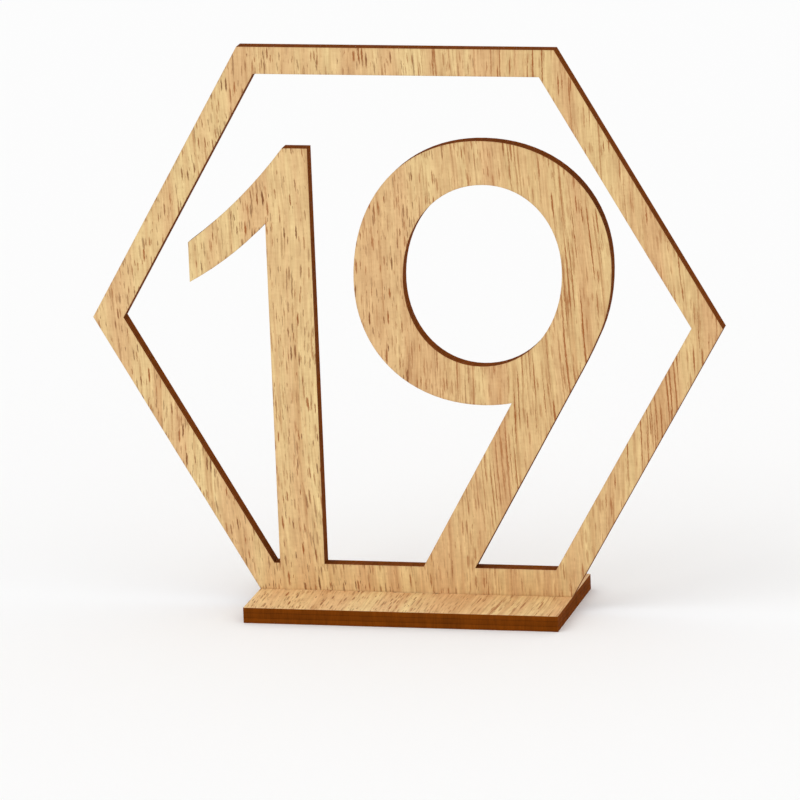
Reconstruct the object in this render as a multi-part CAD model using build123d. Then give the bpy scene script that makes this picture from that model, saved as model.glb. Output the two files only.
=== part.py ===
from build123d import *
import math
import os

# Table number holder: a laser-cut plywood number panel that stands in a slotted base plate.
# Millimetres, +Z up. The origin is on the table, under the middle of the base plate. The
# panel's front faces -Y, and its face lies in the XZ plane.

# ---- Driving dimensions (mm) -------------------------------------------------------------

# Both pieces are cut from one sheet of plywood.
sheet = 3.0

# Panel frame: a regular hexagon with level top and bottom rails.
panel_width = 120.0  # across the left and right corners
rail = 5.1

# Both digits.
stroke = 8.6  # straight strokes: the stem of the one and the leg of the nine

# Digit one.
stem_inset = 1.1  # from the opening's lower left corner to the stem's left side
one_top_gap = 14.0  # from the top rail down to the stem's top
one_top_width = 4.8  # flat top of the stem, before the flag's curve starts
flag_reach = 15.0  # from the stem's left side out to the flag's tip
flag_drop = 18.2  # from the stem's top down to the flag's tip
flag_tip = 7.6  # height of the flag's blunt tip
crotch_drop = 14.4  # from the stem's top down to where the flag's underside meets the stem
flag_upper_sag = 0.9  # how far the flag's upper edge dips below its chord
flag_lower_sag = 0.7

# Digit nine: a leaning oval bowl on a slanting leg.
nine_offset = 15.0  # from the panel's middle to the bowl's middle
nine_top_gap = 12.1  # from the top rail down to the bowl's top
bowl_width = 49.0
bowl_height = 50.2
bowl_side_lean = 2.0  # the widest points are this much higher on the right, lower on the left
bowl_end_lean = 0.5  # the top is this much to the right of the middle, the bottom to the left
bowl_fullness = 0.59  # 0.55 is an ellipse, and more is squarer
counter_width = 30.2
counter_height = 34.5
counter_side_lean = 1.3
counter_end_lean = 0.8
counter_fullness = 0.575
bowl_top_wall = 8.3  # from the bowl's top down to the counter's top
leg_slant = 29.4  # degrees from upright
leg_bend_drop = 23.4  # from the bowl's widest point down to where the leg runs straight
leg_bend_shift = 8.1  # how far the leg's right side has come in by then
leg_bend_fullness = 0.37

# Tab and slot.
tab_width = 7.5
table_clearance = 0.6  # the tab stops short of the table
slot_end_clearance = 0.5  # each end
slot_side_clearance = 0.075  # each side

# Base plate.
base_width = 60.0
base_depth = 29.0

# ---- Shared places -----------------------------------------------------------------------

cos30 = math.cos(math.radians(30))
outer_apothem = panel_width / 2 * cos30
inner_apothem = outer_apothem - rail
inner_corner = inner_apothem / cos30 / 2  # half of the opening's level sides
root = rail / 2  # how far the digits run down into the bottom rail before they are joined to it


def hexagon(apothem):
    """Regular hexagon with corners on its left and right."""
    return RegularPolygon(apothem, 6, major_radius=False)


def sagged(start, end, sag):
    """Arc from start to end whose middle dips to the right of the direction of travel."""
    run = Vector(*end) - Vector(*start)
    middle = (Vector(*start) + Vector(*end)) / 2
    side = Vector(run.Y, -run.X).normalized() * sag
    return ThreePointArc(start, middle + side, end)


def digit_one():
    """Upright stem with a curved flag and a blunt tip."""
    left = stem_inset - inner_corner
    right = left + stroke
    top = inner_apothem - one_top_gap
    foot = -inner_apothem - root
    tip_x = left - flag_reach
    tip_top = top - flag_drop
    tip_bottom = tip_top - flag_tip
    crotch = (left, top - crotch_drop)
    shoulder = (right - one_top_width, top)
    outline = Curve() + [
        Line((left, foot), (right, foot)),
        Line((right, foot), (right, top)),
        Line((right, top), shoulder),
        sagged((tip_x, tip_top), shoulder, flag_upper_sag),
        Line((tip_x, tip_top), (tip_x, tip_bottom)),
        sagged((tip_x, tip_bottom), crotch, flag_lower_sag),
        Line(crotch, (left, foot)),
    ]
    return make_face(outline)


def quarter(side, end, fullness):
    """Quarter of an oval, upright at its side point and level at its end point."""
    side_handle = (side.X, side.Y + fullness * (end.Y - side.Y))
    end_handle = (end.X + fullness * (side.X - end.X), end.Y)
    return Bezier(side, side_handle, end_handle, end)


def oval(width, height, side_lean, end_lean, fullness):
    """Leaning oval about the origin, the same when it is turned half round."""
    right = Vector(width / 2, side_lean)
    top = Vector(end_lean, height / 2)
    sides = (right, -right)
    ends = (top, -top)
    return make_face(Curve() + [quarter(side, end, fullness) for side in sides for end in ends])


def digit_nine():
    """Oval bowl with an oval counter, and a leg that runs on from the bowl's right side."""
    middle_y = inner_apothem - nine_top_gap - bowl_height / 2
    bowl = Pos(nine_offset, middle_y) * oval(
        bowl_width, bowl_height, bowl_side_lean, bowl_end_lean, bowl_fullness
    )
    counter_y = middle_y + bowl_height / 2 - bowl_top_wall - counter_height / 2
    counter = Pos(nine_offset, counter_y) * oval(
        counter_width, counter_height, counter_side_lean, counter_end_lean, counter_fullness
    )

    slant = math.radians(leg_slant)
    along = Vector(math.sin(slant), math.cos(slant))
    across = Vector(stroke / math.cos(slant), 0)
    widest = Vector(nine_offset + bowl_width / 2, middle_y + bowl_side_lean)
    bend = widest - Vector(leg_bend_shift, leg_bend_drop)
    foot = bend - along * ((bend.Y + inner_apothem + root) / along.Y)
    inside = bend - across + along * ((middle_y - bend.Y) / along.Y)
    handle = leg_bend_fullness * (widest - bend).length
    outline = Curve() + [
        Bezier(widest, widest - Vector(0, handle), bend + along * handle, bend),
        Line(bend, foot),
        Line(foot, foot - across),
        Line(foot - across, inside),
        Line(inside, widest),
    ]
    return bowl + make_face(outline) - counter


def number_panel():
    """Hexagon frame, both digits and the tab, cut as one piece and stood on the base plate."""
    frame = hexagon(outer_apothem) - hexagon(inner_apothem)
    tab_length = sheet - table_clearance
    tab_top = root - outer_apothem
    tab_bottom = -outer_apothem - tab_length
    tab = Pos(0, (tab_top + tab_bottom) / 2) * Rectangle(tab_width, tab_top - tab_bottom)
    digits = (digit_one() + digit_nine()) & hexagon(outer_apothem)
    outline = frame + digits + tab
    flat = extrude(outline, sheet / 2, both=True)
    upright = Plane(origin=(0, 0, sheet + outer_apothem), x_dir=(1, 0, 0), z_dir=(0, -1, 0))
    return upright * flat


def base_plate():
    """Rectangular plate with a slot through its middle for the panel's tab."""
    slot_length = tab_width + 2 * slot_end_clearance
    slot_width = sheet + 2 * slot_side_clearance
    outline = Rectangle(base_width, base_depth) - Rectangle(slot_length, slot_width)
    return extrude(outline, sheet)


os.makedirs("parts", exist_ok=True)
for name, piece in (("number_panel", number_panel()), ("base_plate", base_plate())):
    piece.label = name
    export_step(piece, f"parts/{name}.step")
    print(name, piece.bounding_box(), "volume", round(piece.volume, 1), "solids", len(piece.solids()))
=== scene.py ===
import logging
import math
from dataclasses import dataclass, field
from enum import Enum
from typing import ClassVar, Sequence, Union

import bmesh
import bpy
from mathutils import Matrix, Vector


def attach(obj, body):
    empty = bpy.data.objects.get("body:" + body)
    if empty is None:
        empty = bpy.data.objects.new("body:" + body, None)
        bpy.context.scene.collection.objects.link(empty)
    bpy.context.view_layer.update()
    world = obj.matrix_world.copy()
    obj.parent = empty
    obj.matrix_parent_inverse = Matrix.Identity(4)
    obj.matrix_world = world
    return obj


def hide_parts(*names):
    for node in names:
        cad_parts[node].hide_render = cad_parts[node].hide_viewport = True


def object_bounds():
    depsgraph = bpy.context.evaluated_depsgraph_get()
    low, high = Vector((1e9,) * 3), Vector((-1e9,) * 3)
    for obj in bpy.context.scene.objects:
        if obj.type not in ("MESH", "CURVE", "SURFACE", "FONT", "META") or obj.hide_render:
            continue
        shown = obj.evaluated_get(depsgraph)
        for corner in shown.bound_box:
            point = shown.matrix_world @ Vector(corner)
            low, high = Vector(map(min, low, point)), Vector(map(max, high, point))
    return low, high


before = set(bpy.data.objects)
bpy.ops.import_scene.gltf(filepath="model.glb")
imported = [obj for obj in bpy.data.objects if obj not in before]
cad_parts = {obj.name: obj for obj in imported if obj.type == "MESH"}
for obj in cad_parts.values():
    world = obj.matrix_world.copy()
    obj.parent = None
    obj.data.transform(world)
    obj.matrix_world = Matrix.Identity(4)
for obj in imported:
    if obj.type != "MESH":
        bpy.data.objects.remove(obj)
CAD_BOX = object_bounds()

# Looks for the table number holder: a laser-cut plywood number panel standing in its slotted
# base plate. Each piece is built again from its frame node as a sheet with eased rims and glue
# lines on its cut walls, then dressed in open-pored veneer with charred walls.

log = logging.getLogger("table_number")

MM = 0.001
NEAR = 1e-7  # metres within which two places are the same

Socket = bpy.types.NodeSocket
Value = Union[Socket, float, Sequence[float]]
Colour = tuple[float, float, float, float]


def screen(red: float, green: float, blue: float) -> Colour:
    """Turns a screen colour into the linear one that shaders use.

    Args:
        red: Red from 0 to 255.
        green: Green from 0 to 255.
        blue: Blue from 0 to 255.

    Returns:
        The linear colour, opaque.
    """
    shares = (value / 255 for value in (red, green, blue))
    linear = [s / 12.92 if s <= 0.04045 else ((s + 0.055) / 1.055) ** 2.4 for s in shares]
    return (linear[0], linear[1], linear[2], 1.0)


# ---- Shader wiring ----


class Port(Enum):
    """Kinds of socket that an effect takes or gives."""

    NUMBER = "NodeSocketFloat"
    COLOUR = "NodeSocketColor"
    PLACE = "NodeSocketVector"


class Wiring:
    """Adds nodes to one node tree, with each input given as a socket or as a plain value."""

    def __init__(self, tree: bpy.types.NodeTree) -> None:
        """Keeps the tree that the nodes go into."""
        self.tree = tree

    def feed(self, socket: Socket, value: Value) -> None:
        """Links a value to a socket if it is a socket itself, and otherwise sets it there.

        Args:
            socket: The input that gets the value.
            value: A socket or a plain value.
        """
        if isinstance(value, bpy.types.NodeSocket):
            self.tree.links.new(value, socket)
        else:
            socket.default_value = value

    def add(self, kind: str, inputs: dict[str, Value], **settings: object) -> bpy.types.Node:
        """Adds a node.

        Args:
            kind: The node's type name.
            inputs: Values or sockets by input name.
            settings: The node's own properties.

        Returns:
            The new node.
        """
        node = self.tree.nodes.new(kind)
        for key, setting in settings.items():
            setattr(node, key, setting)
        for key, value in inputs.items():
            self.feed(node.inputs[key], value)
        return node

    def maths(self, operation: str, *values: Value) -> Socket:
        """Adds a Math node.

        Args:
            operation: The node's operation.
            values: One to three values or sockets.

        Returns:
            The result's socket.
        """
        node = self.tree.nodes.new("ShaderNodeMath")
        node.operation = operation
        for socket, value in zip(node.inputs, values):
            self.feed(socket, value)
        return node.outputs[0]

    def total(self, *parts: tuple[Value, float]) -> Socket:
        """Adds values up.

        Args:
            parts: Pairs of a value and its weight.

        Returns:
            The sum of the values, each times its weight.
        """
        result: Value = 0.0
        for value, weight in parts:
            result = self.maths("MULTIPLY_ADD", value, weight, result)
        return result

    def split(self, place: Value) -> tuple[Socket, Socket, Socket]:
        """Returns the across, along and depth sockets of a place."""
        outputs = self.add("ShaderNodeSeparateXYZ", {"Vector": place}).outputs
        return outputs[0], outputs[1], outputs[2]

    def join(self, across: Value, along: Value, depth: Value) -> Socket:
        """Returns one place made of three values."""
        return self.add("ShaderNodeCombineXYZ", {"X": across, "Y": along, "Z": depth}).outputs[0]

    def noise(self, place: Value, detail: float = 2.0, rough: float = 0.5) -> Socket:
        """Returns soft noise from 0 to 1 at a place that is already scaled."""
        inputs = {"Vector": place, "Scale": 1.0, "Detail": detail, "Roughness": rough}
        return self.add("ShaderNodeTexNoise", inputs).outputs[0]

    def ease(
        self, value: Value, low: float, high: float, start: Value = 0.0, end: Value = 1.0
    ) -> Socket:
        """Eases from start to end as a value goes from low to high.

        Args:
            value: The value read.
            low: Where the easing starts.
            high: Where it ends.
            start: The result at and before low.
            end: The result at and past high.

        Returns:
            The eased value.
        """
        inputs = {"Value": value, "From Min": low, "From Max": high, "To Min": start, "To Max": end}
        return self.add("ShaderNodeMapRange", inputs, interpolation_type="SMOOTHSTEP").outputs[0]

    def mix(self, share: Value, first: Value, second: Value, blend: str = "MIX") -> Socket:
        """Mixes two colours.

        Args:
            share: How far to go from the first colour to the second.
            first: The first colour.
            second: The second colour.
            blend: The way of blending.

        Returns:
            The mixed colour.
        """
        node = self.tree.nodes.new("ShaderNodeMix")
        node.data_type = "RGBA"
        node.blend_type = blend
        for index, value in ((0, share), (6, first), (7, second)):
            self.feed(node.inputs[index], value)
        return node.outputs[2]


# ---- Effects ----


class Effect:
    """A shader node group, built once and placed in each material that shows it.

    Every group reads a place in metres: across the grain, along it, and depth from the middle
    of the sheet, with the face that the laser entered on the positive side.
    """

    title: ClassVar[str]
    takes: ClassVar[dict[str, tuple[Port, object]]]
    gives: ClassVar[dict[str, Port]]

    def __init__(self) -> None:
        """Builds the group's sockets and nodes."""
        self.tree = bpy.data.node_groups.new(self.title, "ShaderNodeTree")
        for name, (port, value) in self.takes.items():
            socket = self.tree.interface.new_socket(name, in_out="INPUT", socket_type=port.value)
            if value is not None:
                socket.default_value = value
        for name, port in self.gives.items():
            self.tree.interface.new_socket(name, in_out="OUTPUT", socket_type=port.value)
        w = Wiring(self.tree)
        given = self.tree.nodes.new("NodeGroupInput")
        made = self.wire(w, {name: given.outputs[name] for name in self.takes})
        result = self.tree.nodes.new("NodeGroupOutput")
        for name, socket in made.items():
            w.feed(result.inputs[name], socket)

    def wire(self, w: Wiring, given: dict[str, Socket]) -> dict[str, Socket]:
        """Adds the effect's nodes.

        Args:
            w: The group's wiring.
            given: The group's inputs by name.

        Returns:
            The sockets that feed the group's outputs, by name.
        """
        raise NotImplementedError

    def place_in(self, w: Wiring, **values: Value) -> dict[str, Socket]:
        """Places the group in a material.

        Args:
            w: The material's wiring.
            values: Sockets or values by input name, with _ for a space.

        Returns:
            The group node's outputs by name.
        """
        node = w.tree.nodes.new("ShaderNodeGroup")
        node.node_tree = self.tree
        for key, value in values.items():
            w.feed(node.inputs[key.replace("_", " ")], value)
        return {name: node.outputs[name] for name in self.gives}


FACE_GAP = 170.0  # millimetres across the grain between what the two faces read
WANDER = 5.0  # millimetres that the grain wanders
WANDER_TIGHTNESS = (0.030, 0.018)  # how quickly it wanders across and along, per millimetre


def follow_grain(w: Wiring, place: Value, lean: Value) -> tuple[Socket, Socket]:
    """Adds the nodes that follow the run of the grain.

    The two faces read far apart, because they are different veneers.

    Args:
        w: The wiring that gets the nodes.
        place: A place in metres.
        lean: How far the grain leans across per length along.

    Returns:
        Millimetres across the grain, wandering with it, and millimetres along it.
    """
    across, along, depth = w.split(place)
    across = w.maths("DIVIDE", across, MM)
    along = w.maths("DIVIDE", along, MM)
    face = w.maths("MULTIPLY", w.maths("SIGN", depth), FACE_GAP)
    sideways, lengthways = WANDER_TIGHTNESS
    slow = w.join(
        w.maths("MULTIPLY", across, sideways), w.maths("MULTIPLY", along, lengthways), face
    )
    wander = w.maths("SUBTRACT", w.noise(slow, 1.0), 0.5)
    leant = w.maths("MULTIPLY_ADD", along, lean, across)
    return w.maths("ADD", w.total((wander, WANDER), (face, 1.0)), leant), along


@dataclass(frozen=True)
class Streaks:
    """Soft noise drawn out along the grain.

    Its features are that wide and long in millimetres. Layers that differ look unrelated, and
    the strength is how far the noise sways what it is added to.
    """

    wide: float
    long: float
    layer: float
    detail: float = 2.0
    rough: float = 0.55
    strength: float = 0.0

    def wire(self, w: Wiring, across: Socket, along: Socket, shift: Value = 0.0) -> Socket:
        """Adds the noise.

        Args:
            w: The wiring that gets the nodes.
            across: Millimetres across the grain.
            along: Millimetres along it.
            shift: How far to move on from the layer.

        Returns:
            The noise from 0 to 1.
        """
        sideways = w.maths("DIVIDE", across, self.wide)
        lengthways = w.maths("DIVIDE", along, self.long)
        layer = w.maths("ADD", shift, self.layer)
        return w.noise(w.join(sideways, lengthways, layer), self.detail, self.rough)


class VeneerGround(Effect):
    """Veneer between its pores: broad tone bands, growth streaks and fine fibres."""

    title = "Veneer ground"
    takes = {
        "Place": (Port.PLACE, None),
        "Pale": (Port.COLOUR, (1, 1, 1, 1)),
        "Warm": (Port.COLOUR, (1, 1, 1, 1)),
        "Streak": (Port.COLOUR, (1, 1, 1, 1)),
        "Heartwood": (Port.COLOUR, (1, 1, 1, 1)),
        "Sap side": (Port.NUMBER, -0.05),
        "Heart side": (Port.NUMBER, 0.05),
        "Lean": (Port.NUMBER, 0.0),
        "Streakiness": (Port.NUMBER, 0.5),
        "Contrast": (Port.NUMBER, 1.0),
        "Lightness": (Port.NUMBER, 1.0),
    }
    gives = {"Color": Port.COLOUR, "Fibre": Port.NUMBER, "Heart": Port.NUMBER}

    bands: ClassVar[Streaks] = Streaks(5.5, 140.0, 0.0, 3.0)
    growth: ClassVar[Streaks] = Streaks(1.5, 60.0, 4.0, 3.0)
    drift: ClassVar[Streaks] = Streaks(14.0, 60.0, 20.0, strength=1.2)
    fibre: ClassVar[Streaks] = Streaks(0.42, 9.0, 8.0, 3.0, strength=0.56)
    hair: ClassVar[Streaks] = Streaks(0.11, 4.0, 24.0, strength=0.20)
    rays: ClassVar[Streaks] = Streaks(1.6, 0.55, 12.0, strength=0.16)
    mottle: ClassVar[Streaks] = Streaks(2.2, 5.0, 16.0, strength=0.34)
    deepening: ClassVar[tuple[float, ...]] = (0.80, 1.06, 1.20)  # of red, green and blue in turn

    def wire(self, w: Wiring, given: dict[str, Socket]) -> dict[str, Socket]:
        """Adds the ground's nodes, from broad bands down to single fibres.

        Args:
            w: The group's wiring.
            given: The group's inputs by name.

        Returns:
            The colour, the fibres' relief and the share of heartwood.
        """
        across, along = follow_grain(w, given["Place"], given["Lean"])
        band = w.ease(self.bands.wire(w, across, along), 0.38, 0.62)
        tone = w.mix(band, given["Pale"], given["Warm"])
        growth = w.ease(self.growth.wire(w, across, along), 0.50, 0.70)
        tone = w.mix(w.maths("MULTIPLY", growth, given["Streakiness"]), tone, given["Streak"])
        leaf = w.split(given["Place"])[0]
        width = w.maths("SUBTRACT", given["Heart side"], given["Sap side"])
        share = w.maths("DIVIDE", w.maths("SUBTRACT", leaf, given["Sap side"]), width)
        drift = w.maths("SUBTRACT", self.drift.wire(w, across, along), 0.5)
        heart = w.ease(w.maths("MULTIPLY_ADD", drift, self.drift.strength, share), 0.0, 1.0)
        tone = w.mix(heart, tone, w.mix(1.0, tone, given["Heartwood"], "MULTIPLY"))

        layers = (self.fibre, self.hair, self.rays, self.mottle)
        noises = [layer.wire(w, across, along) for layer in layers]
        swing = w.total(*((noise, layer.strength) for noise, layer in zip(noises, layers)))
        swing = w.maths("SUBTRACT", swing, sum(layer.strength for layer in layers) / 2)
        swing = w.maths("MULTIPLY", swing, given["Contrast"])
        shade = [w.maths("MULTIPLY_ADD", swing, gain, given["Lightness"]) for gain in self.deepening]
        colour = w.mix(1.0, tone, w.join(*shade), "MULTIPLY")
        relief = w.total((noises[0], 0.6), (noises[1], 0.4))
        return {"Color": colour, "Fibre": relief, "Heart": heart}


class PoreFlecks(Effect):
    """Short dark flecks along the grain, where the knife cut the wood's pores open."""

    title = "Pore flecks"
    takes = {
        "Place": (Port.PLACE, None),
        "Lean": (Port.NUMBER, 0.0),
        "Across": (Port.NUMBER, 1.0),
        "Along": (Port.NUMBER, 5.0),
        "Least": (Port.NUMBER, 0.05),
        "Most": (Port.NUMBER, 0.16),
        "Patchiness": (Port.NUMBER, 0.5),
        "Layer": (Port.NUMBER, 0.0),
    }
    gives = {"Mask": Port.NUMBER, "Tint": Port.NUMBER}

    ragged: ClassVar[Streaks] = Streaks(0.30, 0.8, 0.0, 3.0, 0.6, strength=0.34)
    patches: ClassVar[Streaks] = Streaks(5.0, 28.0, 20.0, 2.0, 0.5, strength=3.0)
    hairs: ClassVar[Streaks] = Streaks(0.07, 1.3, 0.0, 2.0, 0.5)

    def wire(self, w: Wiring, given: dict[str, Socket]) -> dict[str, Socket]:
        """Adds the flecks' nodes: one oval to a cell, with its own size, strength and tint.

        Args:
            w: The group's wiring.
            given: The group's inputs by name.

        Returns:
            The mask of the flecks, and a random tint from 0 to 1 for each.
        """
        across, along = follow_grain(w, given["Place"], given["Lean"])
        layer = given["Layer"]
        nudge = w.maths("SUBTRACT", self.ragged.wire(w, across, along, layer), 0.5)
        nudged = w.maths("MULTIPLY_ADD", nudge, self.ragged.strength, across)
        column = w.maths("ADD", w.maths("DIVIDE", nudged, given["Across"]), layer)
        row = w.maths("DIVIDE", along, given["Along"])
        inputs = {"Vector": w.join(column, row, 0.0), "Scale": 1.0, "Randomness": 1.0}
        cells = w.add("ShaderNodeTexVoronoi", inputs, voronoi_dimensions="2D")
        size, strength, tint = w.split(cells.outputs["Color"])
        patch = w.maths("SUBTRACT", self.patches.wire(w, across, along, layer), 0.5)
        patch = w.maths("MULTIPLY", patch, self.patches.strength)
        size = w.maths("MULTIPLY_ADD", patch, given["Patchiness"], size)
        span = w.maths("SUBTRACT", given["Most"], given["Least"])
        reach = w.maths("MULTIPLY_ADD", w.ease(size, 0.25, 1.0), span, given["Least"])
        nearness = w.maths("SUBTRACT", 1.0, w.maths("DIVIDE", cells.outputs["Distance"], reach))
        hairs = w.ease(self.hairs.wire(w, across, along, layer), 0.3, 0.6, 0.6)
        body = w.maths("MULTIPLY", w.ease(nearness, 0.0, 0.45), hairs)
        mask = w.maths("MULTIPLY", body, w.ease(strength, 0.0, 1.0, 0.40))
        return {"Mask": w.maths("MULTIPLY", mask, w.ease(size, 0.10, 0.25)), "Tint": tint}


class CharredWall(Effect):
    """Laser-burnt wall: beam striations through the thickness, plies and dark glue lines."""

    title = "Charred wall"
    takes = {
        "Place": (Port.PLACE, None),
        "Brown": (Port.COLOUR, (1, 1, 1, 1)),
        "Soot": (Port.COLOUR, (0, 0, 0, 1)),
        "Glue line": (Port.NUMBER, 0.0005),
        "Sootiness": (Port.NUMBER, 0.5),
    }
    gives = {"Color": Port.COLOUR, "Roughness": Port.NUMBER, "Height": Port.NUMBER}

    fine: ClassVar[tuple[float, float]] = (0.16, 2.4)  # pitch and run of its grooves, millimetres
    coarse: ClassVar[tuple[float, float]] = (1.3, 5.0)
    patchy: ClassVar[tuple[float, float]] = (7.0, 3.0)

    def wire(self, w: Wiring, given: dict[str, Socket]) -> dict[str, Socket]:
        """Adds the wall's nodes.

        Args:
            w: The group's wiring.
            given: The group's inputs by name.

        Returns:
            The wall's colour, roughness and height.
        """
        across, along, depth = (w.maths("DIVIDE", part, MM) for part in w.split(given["Place"]))

        def grooves(pitch: float, run: float) -> Socket:
            """Returns noise in strips of that pitch that run through the thickness."""
            return w.noise(
                w.join(
                    w.maths("DIVIDE", across, pitch), w.maths("DIVIDE", along, pitch),
                    w.maths("DIVIDE", depth, run),
                )
            )

        fine, coarse, patchy = (grooves(*size) for size in (self.fine, self.coarse, self.patchy))
        from_middle = w.maths("ABSOLUTE", depth)
        inside = w.maths("SUBTRACT", w.maths("DIVIDE", given["Glue line"], MM), from_middle)
        line = w.ease(w.maths("ABSOLUTE", inside), 0.02, 0.09, 1.0, 0.0)
        soot = w.total(
            (w.ease(fine, 0.35, 0.72), 0.40), (w.ease(coarse, 0.35, 0.70), 0.30),
            (w.ease(patchy, 0.35, 0.70), 0.22), (w.ease(inside, -0.04, 0.04), 0.20), (line, 0.55),
        )
        soot = w.maths("MINIMUM", w.maths("MULTIPLY", soot, given["Sootiness"]), 1.0)
        return {
            "Color": w.mix(soot, given["Brown"], given["Soot"]),
            "Roughness": w.ease(fine, 0.3, 0.7, 0.78, 0.95),
            "Height": w.total((fine, 1.0), (coarse, 0.5), (line, -0.4)),
        }


class ToastedRim(Effect):
    """Faint browning of a face beside its cut edge, fading inwards."""

    title = "Toasted rim"
    takes = {
        "Rim": (Port.NUMBER, 0.0),
        "Place": (Port.PLACE, None),
        "Front": (Port.NUMBER, 0.3),
        "Back": (Port.NUMBER, 0.6),
    }
    gives = {"Mask": Port.NUMBER}

    spot: ClassVar[float] = 1.7 * MM  # how broad the spots are that break it up

    def wire(self, w: Wiring, given: dict[str, Socket]) -> dict[str, Socket]:
        """Adds the nodes that fade the browning and break it up.

        Args:
            w: The group's wiring.
            given: The group's inputs by name.

        Returns:
            The mask of the browning.
        """
        across, along, depth = w.split(given["Place"])
        spots = w.join(
            w.maths("DIVIDE", across, self.spot), w.maths("DIVIDE", along, self.spot), 0.0
        )
        broken = w.ease(w.noise(spots), 0.3, 0.7, 0.45, 1.0)
        behind = w.maths("LESS_THAN", depth, 0.0)
        span = w.maths("SUBTRACT", given["Back"], given["Front"])
        strength = w.maths("MULTIPLY_ADD", behind, span, given["Front"])
        fade = w.maths("MULTIPLY", w.maths("POWER", given["Rim"], 1.6), broken)
        return {"Mask": w.maths("MULTIPLY", fade, strength)}


@dataclass
class Effects:
    """The node groups that the finishes share."""

    ground: VeneerGround = field(default_factory=VeneerGround)
    flecks: PoreFlecks = field(default_factory=PoreFlecks)
    char: CharredWall = field(default_factory=CharredWall)
    toast: ToastedRim = field(default_factory=ToastedRim)


# ---- Finishes ----


class Lie(Enum):
    """How a sheet lies: the turn about X, in degrees, that lays it down with its face up."""

    STANDING = -90.0
    FLAT = 0.0

    @property
    def turn(self) -> float:
        """Returns the turn in radians."""
        return math.radians(self.value)

    @property
    def to_sheet(self) -> Matrix:
        """Returns the turn from the row frame to across, along and depth."""
        return Matrix.Rotation(self.turn, 4, "X")


@dataclass(frozen=True)
class Finish:
    """What both finishes of a sheet need: its lie, and where in the pattern the piece starts."""

    name: str
    lie: Lie
    start: tuple[float, float, float]

    def begin(self) -> tuple[bpy.types.Material, Wiring, bpy.types.Node, Socket]:
        """Starts the finish's material.

        Returns:
            The new material, its wiring, its shader, and the piece's place in the sheet.
        """
        material = bpy.data.materials.new(self.name)
        material.use_nodes = True
        w = Wiring(material.node_tree)
        own = w.tree.nodes.new("ShaderNodeTexCoord").outputs["Object"]
        turned = (self.lie.turn, 0.0, 0.0)
        inputs = {"Vector": own, "Location": self.start, "Rotation": turned}
        place = w.add("ShaderNodeMapping", inputs).outputs[0]
        return material, w, w.tree.nodes["Principled BSDF"], place


@dataclass(frozen=True)
class FleckSize:
    """One size of pore fleck, a cell to each.

    The cell is in millimetres across and along the grain, and the least and the greatest reach
    are shares of it. Layers that differ look unrelated. The strengths are at the sap side of
    the leaf and at its heart side.
    """

    cell: tuple[float, float]
    reach: tuple[float, float]
    layer: float
    strength: tuple[float, float]
    patchiness: float = 0.6


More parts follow.
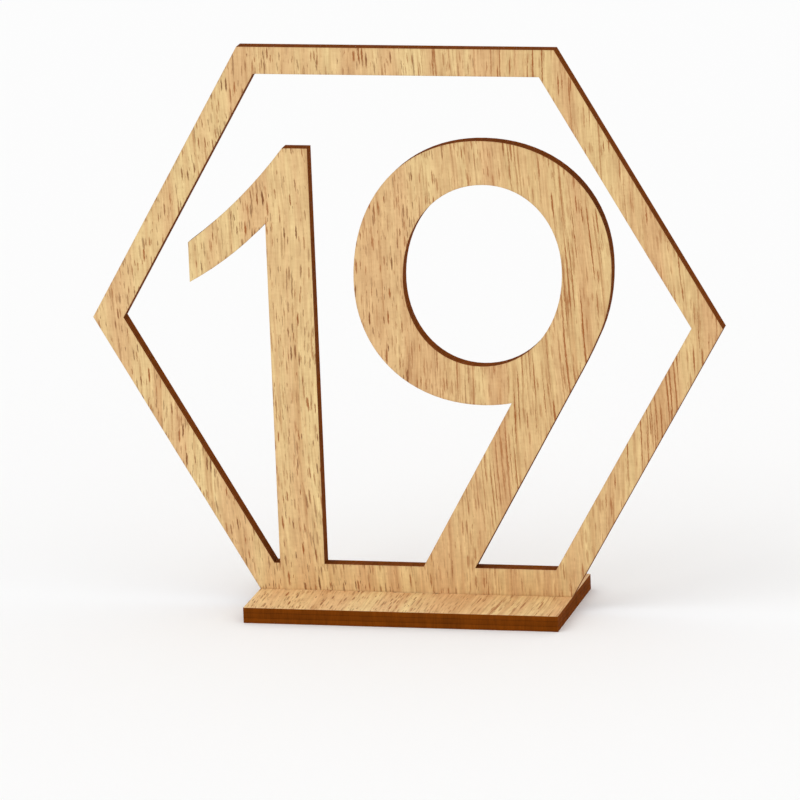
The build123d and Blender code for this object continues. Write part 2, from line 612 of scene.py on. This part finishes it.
@dataclass(frozen=True)
class Veneer(Finish):
    """Bare sanded veneer: pale and warm bands under open pores."""

    leaf: tuple[float, float]
    lightness: float
    pale: Colour = screen(225, 195, 139)
    warm: Colour = screen(217, 177, 126)
    streak: Colour = screen(198, 152, 102)
    heartwood: Colour = (0.94, 0.90, 0.875, 1.0)
    pore: Colour = screen(120, 68, 28)
    red_pore: Colour = screen(160, 90, 36)
    toasted: Colour = screen(120, 72, 32)
    lean: float = 0.035
    streakiness: float = 0.66
    contrast: float = 1.4
    pore_strength: float = 1.0
    toast_front: float = 0.12
    toast_back: float = 0.75
    shine: float = 0.22
    pore_depth: float = 0.05 * MM
    sizes: tuple[FleckSize, ...] = (
        FleckSize((0.50, 4.4), (0.06, 0.30), layer=29.0, strength=(0.8, 0.3)),
        FleckSize((0.72, 5.6), (0.08, 0.32), layer=3.0, strength=(1.0, 0.5), patchiness=0.5),
        FleckSize((0.85, 13.0), (0.05, 0.25), layer=17.0, strength=(0.6, 1.0)),
        FleckSize((0.66, 38.0), (0.05, 0.27), layer=41.0, strength=(0.1, 1.0)),
        FleckSize((0.80, 56.0), (0.05, 0.26), layer=63.0, strength=(0.0, 1.0)),
    )

    def make(self, effects: Effects) -> bpy.types.Material:
        """Makes the veneer's material.

        Args:
            effects: The node groups that it places.

        Returns:
            The material.
        """
        material, w, shader, place = self.begin()
        ground = effects.ground.place_in(
            w, Place=place, Pale=self.pale, Warm=self.warm, Streak=self.streak,
            Heartwood=self.heartwood, Sap_side=self.start[0] + self.leaf[0],
            Heart_side=self.start[0] + self.leaf[1], Lean=self.lean,
            Streakiness=self.streakiness, Contrast=self.contrast, Lightness=self.lightness,
        )
        colour = ground["Color"]
        pores: Value = 0.0
        for size in self.sizes:
            fleck = effects.flecks.place_in(
                w, Place=place, Lean=self.lean, Across=size.cell[0], Along=size.cell[1],
                Least=size.reach[0], Most=size.reach[1], Patchiness=size.patchiness,
                Layer=size.layer,
            )
            redness = w.total((fleck["Tint"], 0.9), (ground["Heart"], 0.6))
            dark = w.mix(w.ease(redness, 0.0, 0.8), self.pore, self.red_pore)
            share = w.ease(ground["Heart"], 0.0, 1.0, *size.strength)
            mask = w.maths("MULTIPLY", fleck["Mask"], share)
            colour = w.mix(w.maths("MULTIPLY", mask, self.pore_strength), colour, dark)
            pores = w.maths("MAXIMUM", pores, mask)
        rim = w.add("ShaderNodeAttribute", {}, attribute_name=CutSheet.RIM).outputs["Fac"]
        toast = effects.toast.place_in(
            w, Rim=rim, Place=place, Front=self.toast_front, Back=self.toast_back
        )
        colour = w.mix(toast["Mask"], colour, self.toasted)
        height = w.total((ground["Fibre"], 0.25), (pores, -1.0))
        inputs = {"Height": height, "Strength": 0.6, "Distance": self.pore_depth}
        w.feed(shader.inputs["Base Color"], colour)
        w.feed(shader.inputs["Roughness"], w.ease(ground["Fibre"], 0.3, 0.7, 0.62, 0.50))
        w.feed(shader.inputs["Normal"], w.add("ShaderNodeBump", inputs).outputs[0])
        shader.inputs["Specular IOR Level"].default_value = self.shine
        return material


@dataclass(frozen=True)
class LaserWall(Finish):
    """Charred wall that the laser leaves all round a cut sheet."""

    glue_line: float
    brown: Colour = screen(126, 62, 8)
    soot: Colour = screen(66, 29, 3)
    sootiness: float = 0.58
    shine: float = 0.03
    groove_depth: float = 0.04 * MM

    def make(self, effects: Effects) -> bpy.types.Material:
        """Makes the wall's material.

        Args:
            effects: The node groups that it places.

        Returns:
            The material.
        """
        material, w, shader, place = self.begin()
        wall = effects.char.place_in(
            w, Place=place, Brown=self.brown, Soot=self.soot, Glue_line=self.glue_line,
            Sootiness=self.sootiness,
        )
        inputs = {"Height": wall["Height"], "Strength": 0.5, "Distance": self.groove_depth}
        w.feed(shader.inputs["Base Color"], wall["Color"])
        w.feed(shader.inputs["Roughness"], wall["Roughness"])
        w.feed(shader.inputs["Normal"], w.add("ShaderNodeBump", inputs).outputs[0])
        shader.inputs["Specular IOR Level"].default_value = self.shine
        return material


# ---- Sheets ----


@dataclass(frozen=True)
class Step:
    """One step of a sheet's profile: how far in from the outline, how deep, and how toasted."""

    inset: float
    depth: float
    toast: float


@dataclass
class CutSheet:
    """A laser-cut plywood sheet, built again round the outlines of its frame node.

    Rows of points follow every outline at each step of one profile through the thickness, and
    the two faces close the ends. The walls stay on the frame node's own walls. An inset at a
    corner goes at most sharpest times as far as on a straight run, corner is the turn from
    which an edge is sharp, and bend is the sine of the least turn that a kept point makes.
    """

    RIM: ClassVar[str] = "rim_toast"
    FACE: ClassVar[int] = 0
    WALL: ClassVar[int] = 1
    SLACK: ClassVar[float] = 0.01 * MM  # how far under the top a point of its face may lie

    node: str
    body: str
    name: str
    lie: Lie
    start: tuple[float, float]
    leaf: tuple[float, float]
    lightness: float = 1.04
    ease: float = 0.08 * MM
    ease_steps: int = 3
    toast_width: float = 0.40 * MM
    plies: int = 3
    glue_height: float = 0.06 * MM
    glue_sink: float = 0.02 * MM
    sharpest: float = 2.4
    corner: float = math.radians(22)
    bend: float = 1e-4
    top: float = field(init=False)
    bottom: float = field(init=False)

    def build(self, effects: Effects) -> bpy.types.Object:
        """Builds, dresses and hangs the sheet on its body.

        Args:
            effects: The node groups that its finishes use.

        Returns:
            The finished piece.
        """
        source = bmesh.new()
        source.from_mesh(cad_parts[self.node].data)
        source.transform(self.lie.to_sheet)
        bmesh.ops.remove_doubles(source, verts=source.verts, dist=NEAR)
        self.bottom = min(v.co.z for v in source.verts)
        self.top = max(v.co.z for v in source.verts)
        outlines = [self.simplified(outline) for outline in self.outlines(source)]
        source.free()
        sheet = self.swept(outlines)
        self.crease(sheet)
        sheet.transform(self.lie.to_sheet.inverted())
        mesh = bpy.data.meshes.new(self.name)
        sheet.to_mesh(mesh)
        sheet.free()
        piece = bpy.data.objects.new(self.name, mesh)
        bpy.context.scene.collection.objects.link(piece)
        for finish in self.finishes():
            mesh.materials.append(finish.make(effects))
        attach(piece, self.body)
        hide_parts(self.node)
        log.info("%s: %d outlines, %d faces", self.name, len(outlines), len(mesh.polygons))
        return piece

    def outlines(self, source: bmesh.types.BMesh) -> list[list[Vector]]:
        """Walks round the edges of the sheet's top face.

        Args:
            source: The frame node's mesh, laid down with its face up.

        Returns:
            Closed outlines in the sheet's plane, each with the wood on its left.
        """
        level = self.top - self.SLACK
        face = [f for f in source.faces if all(v.co.z > level for v in f.verts)]
        inside = set(face)
        onward = {}
        for polygon in face:
            for corner in polygon.loops:
                if any(other not in inside for other in corner.edge.link_faces):
                    onward[corner.vert] = corner.link_loop_next.vert
        found = []
        while onward:
            at = next(iter(onward))
            outline = []
            while at in onward:
                outline.append(at.co.xy.copy())
                at = onward.pop(at)
            found.append(outline)
        return found

    def simplified(self, outline: list[Vector]) -> list[Vector]:
        """Drops the points that lie on an outline's straight runs.

        Args:
            outline: A closed outline.

        Returns:
            The points where it turns.
        """
        kept = []
        for index, point in enumerate(outline):
            before = (point - outline[index - 1]).normalized()
            after = (outline[(index + 1) % len(outline)] - point).normalized()
            if abs(before.cross(after)) > self.bend:
                kept.append(point)
        return kept

    def profile(self) -> list[Step]:
        """Works out the sheet's profile.

        Returns:
            The steps from the top face, over its rim and down the wall, to the bottom face.
        """
        upper = [Step(self.ease + self.toast_width, self.top, 0.0)]
        for index in range(self.ease_steps + 1):
            angle = math.pi / 2 * (1 - index / self.ease_steps)
            inset = self.ease * (1 - math.cos(angle))
            upper.append(Step(inset, self.top - self.ease * (1 - math.sin(angle)), 1.0))
        middle = (self.top + self.bottom) / 2
        lower = [Step(s.inset, 2 * middle - s.depth, s.toast) for s in reversed(upper)]
        walls = []
        for ply in range(1, self.plies):
            line = self.top - (self.top - self.bottom) * ply / self.plies
            for rise, sink in ((0.5, 0.0), (0.0, self.glue_sink), (-0.5, 0.0)):
                walls.append(Step(sink, line + rise * self.glue_height, 1.0))
        return upper + walls + lower

    def inward(self, outline: list[Vector]) -> list[Vector]:
        """Finds how an inset moves an outline's points.

        Args:
            outline: A closed outline with the wood on its left.

        Returns:
            For each point, the way that a unit inset moves it.
        """
        ways = []
        for index, point in enumerate(outline):
            before = (point - outline[index - 1]).normalized()
            after = (outline[(index + 1) % len(outline)] - point).normalized()
            left = Vector((-before.y - after.y, before.x + after.x))
            way = left / max(NEAR, 1 + before.dot(after))
            ways.append(way if way.length <= self.sharpest else way.normalized() * self.sharpest)
        return ways

    def swept(self, outlines: list[list[Vector]]) -> bmesh.types.BMesh:
        """Sweeps the profile round the outlines and closes both faces.

        Args:
            outlines: Closed outlines with the wood on their left.

        Returns:
            The sheet's mesh, laid down with its face up.
        """
        steps = self.profile()
        sheet = bmesh.new()
        toast = sheet.verts.layers.float.new(self.RIM)
        ends: list[list[bmesh.types.BMEdge]] = [[], []]
        for outline in outlines:
            ways = self.inward(outline)
            rows = []
            for step in steps:
                row = []
                for point, way in zip(outline, ways):
                    vert = sheet.verts.new((*(point + way * step.inset), step.depth))
                    vert[toast] = step.toast
                    row.append(vert)
                rows.append(row)
            for number, (upper, lower) in enumerate(zip(rows, rows[1:])):
                rim = self.ease_steps
                slot = self.WALL if rim <= number < len(rows) - 1 - rim else self.FACE
                for index in range(len(outline)):
                    after = (index + 1) % len(outline)
                    corners = (upper[index], lower[index], lower[after], upper[after])
                    sheet.faces.new(corners).material_index = slot
            for end, row in zip(ends, (rows[0], rows[-1])):
                for index in range(len(row)):
                    pair = (row[index], row[(index + 1) % len(row)])
                    end.append(sheet.edges.get(pair))
        for end, normal in zip(ends, (1.0, -1.0)):
            bmesh.ops.triangle_fill(
                sheet, edges=end, use_beauty=True, use_dissolve=False, normal=(0, 0, normal)
            )
        bmesh.ops.recalc_face_normals(sheet, faces=sheet.faces)
        return sheet

    def crease(self, sheet: bmesh.types.BMesh) -> None:
        """Smooths the sheet except round its faces and at the outline's corners.

        Args:
            sheet: The sheet's mesh.
        """
        for face in sheet.faces:
            face.smooth = True
        sheet.normal_update()
        for edge in sheet.edges:
            slots = {face.material_index for face in edge.link_faces}
            turned = len(edge.link_faces) == 2 and edge.calc_face_angle() > self.corner
            level = abs(edge.verts[0].co.z - edge.verts[1].co.z) < NEAR
            edge.smooth = len(slots) == 1 and (level or not turned)

    def finishes(self) -> tuple[Finish, Finish]:
        """Chooses the sheet's finishes.

        Returns:
            The finishes of the faces and of the walls.
        """
        start = (*self.start, -(self.top + self.bottom) / 2)
        glue = (self.top - self.bottom) * (0.5 - 1 / self.plies)
        return (
            Veneer(self.name + "_veneer", self.lie, start, self.leaf, self.lightness),
            LaserWall(self.name + "_wall", self.lie, start, glue),
        )


@dataclass
class NumberPanel(CutSheet):
    """The hexagon frame with its digits and tab, standing with its grain upright."""

    node: str = "number_panel"
    body: str = "panel"
    name: str = "number_sheet"
    lie: Lie = Lie.STANDING
    start: tuple[float, float] = (31 * MM, 0.0)
    leaf: tuple[float, float] = (-14 * MM, 28 * MM)


@dataclass
class BasePlate(CutSheet):
    """The slotted plate that the panel's tab stands in, with its grain along its short side."""

    node: str = "base_plate"
    body: str = "base"
    name: str = "base_sheet"
    lie: Lie = Lie.FLAT
    start: tuple[float, float] = (237 * MM, 83 * MM)
    leaf: tuple[float, float] = (-10 * MM, 30 * MM)
    # Painted light: the same veneer as the panel's, made lighter here to offset the shade that the
    # standing panel throws on the plate.
    lightness: float = 1.12


# ---- Studio ----


def bearing_vector(bearing: float, height: float) -> Vector:
    """Finds the way from the object to a bearing.

    Args:
        bearing: Degrees round from the front, to the right.
        height: Degrees above level.

    Returns:
        The way as a unit vector.
    """
    turn, rise = math.radians(bearing), math.radians(height)
    return Vector(
        (math.sin(turn) * math.cos(rise), -math.cos(turn) * math.cos(rise), math.sin(rise))
    )


@dataclass
class SoftLight:
    """A broad even light from a bearing and a height, with its spread, all in degrees."""

    name: str
    bearing: float
    height: float
    spread: float
    power: float

    def build(self) -> None:
        """Hangs the light and turns it to the object."""
        light = bpy.data.lights.new(self.name, "SUN")
        light.angle = math.radians(self.spread)
        light.energy = self.power
        lamp = bpy.data.objects.new(self.name, light)
        towards = bearing_vector(self.bearing, self.height)
        lamp.location = towards
        lamp.rotation_euler = towards.to_track_quat("Z", "Y").to_euler()
        bpy.context.scene.collection.objects.link(lamp)


@dataclass
class Camera:
    """A long lens, a little to the right of the panel and above it, tipped slightly.

    The angles are in degrees, the lens in millimetres, and the aim's height is a share of the
    object's.
    """

    bearing: float = 14.0
    height: float = 14.46
    tip: float = -2.30
    distance: float = 1.4473
    lens: float = 350.2
    aim_height: float = 0.3722
    aim_side: float = -1.9 * MM

    def build(self) -> None:
        """Sets the scene's camera, aimed at a share of the object's height."""
        data = bpy.data.cameras.new("camera")
        data.lens = self.lens
        data.clip_end = 20.0
        camera = bpy.data.objects.new("camera", data)
        back = bearing_vector(self.bearing, self.height)
        level = Vector((-back.y, back.x, 0.0)).normalized()
        turn = Matrix((level, back.cross(level), back)).transposed()
        height = (CAD_BOX[1] - CAD_BOX[0]).z
        aim = Vector((self.aim_side, 0.0, CAD_BOX[0].z + self.aim_height * height))
        tip = Matrix.Rotation(math.radians(self.tip), 3, "Z")
        camera.matrix_world = Matrix.Translation(aim + back * self.distance) @ (turn @ tip).to_4x4()
        bpy.context.scene.collection.objects.link(camera)
        bpy.context.scene.camera = camera


@dataclass
class Studio:
    """A wide pale floor in even light, with a soft key from the upper left."""

    floor_reach: float = 4.0
    floor_gap: float = 0.02 * MM
    floor_tone: float = 0.95
    floor_roughness: float = 0.9
    sky: float = 0.87
    lights: tuple[SoftLight, ...] = (
        SoftLight("key", -38.0, 50.0, 40.0, 0.5),
        SoftLight("fill", 50.0, 35.0, 60.0, 0.2),
    )

    def build(self) -> None:
        """Lays the floor, lights it and sets the camera."""
        self.lay_floor()
        world = bpy.data.worlds.new("studio")
        world.use_nodes = True
        background = world.node_tree.nodes["Background"]
        background.inputs["Color"].default_value = (1.0, 1.0, 1.0, 1.0)
        background.inputs["Strength"].default_value = self.sky
        bpy.context.scene.world = world
        bpy.context.scene.view_settings.view_transform = "Standard"
        for light in self.lights:
            light.build()
        Camera().build()
        log.info("studio: floor, %d lights and the camera", len(self.lights))

    def lay_floor(self) -> None:
        """Lays the floor just under the object."""
        reach, height = self.floor_reach, CAD_BOX[0].z - self.floor_gap
        mesh = bpy.data.meshes.new("floor")
        corners = ((-reach, -reach), (reach, -reach), (reach, reach), (-reach, reach))
        mesh.from_pydata([(x, y, height) for x, y in corners], [], [(0, 1, 2, 3)])
        floor = bpy.data.objects.new("floor", mesh)
        bpy.context.scene.collection.objects.link(floor)
        material = bpy.data.materials.new("floor_paint")
        material.use_nodes = True
        shader = material.node_tree.nodes["Principled BSDF"]
        tone = self.floor_tone
        shader.inputs["Base Color"].default_value = (tone, tone, tone, 1.0)
        shader.inputs["Roughness"].default_value = self.floor_roughness
        shader.inputs["Specular IOR Level"].default_value = 0.0
        mesh.materials.append(material)


def main() -> None:
    """Builds the two sheets and the studio."""
    logging.basicConfig(level=logging.INFO, format="%(name)s: %(message)s")
    effects = Effects()
    for sheet in (NumberPanel(), BasePlate()):
        sheet.build(effects)
    Studio().build()


if __name__ == "__main__":
    main()
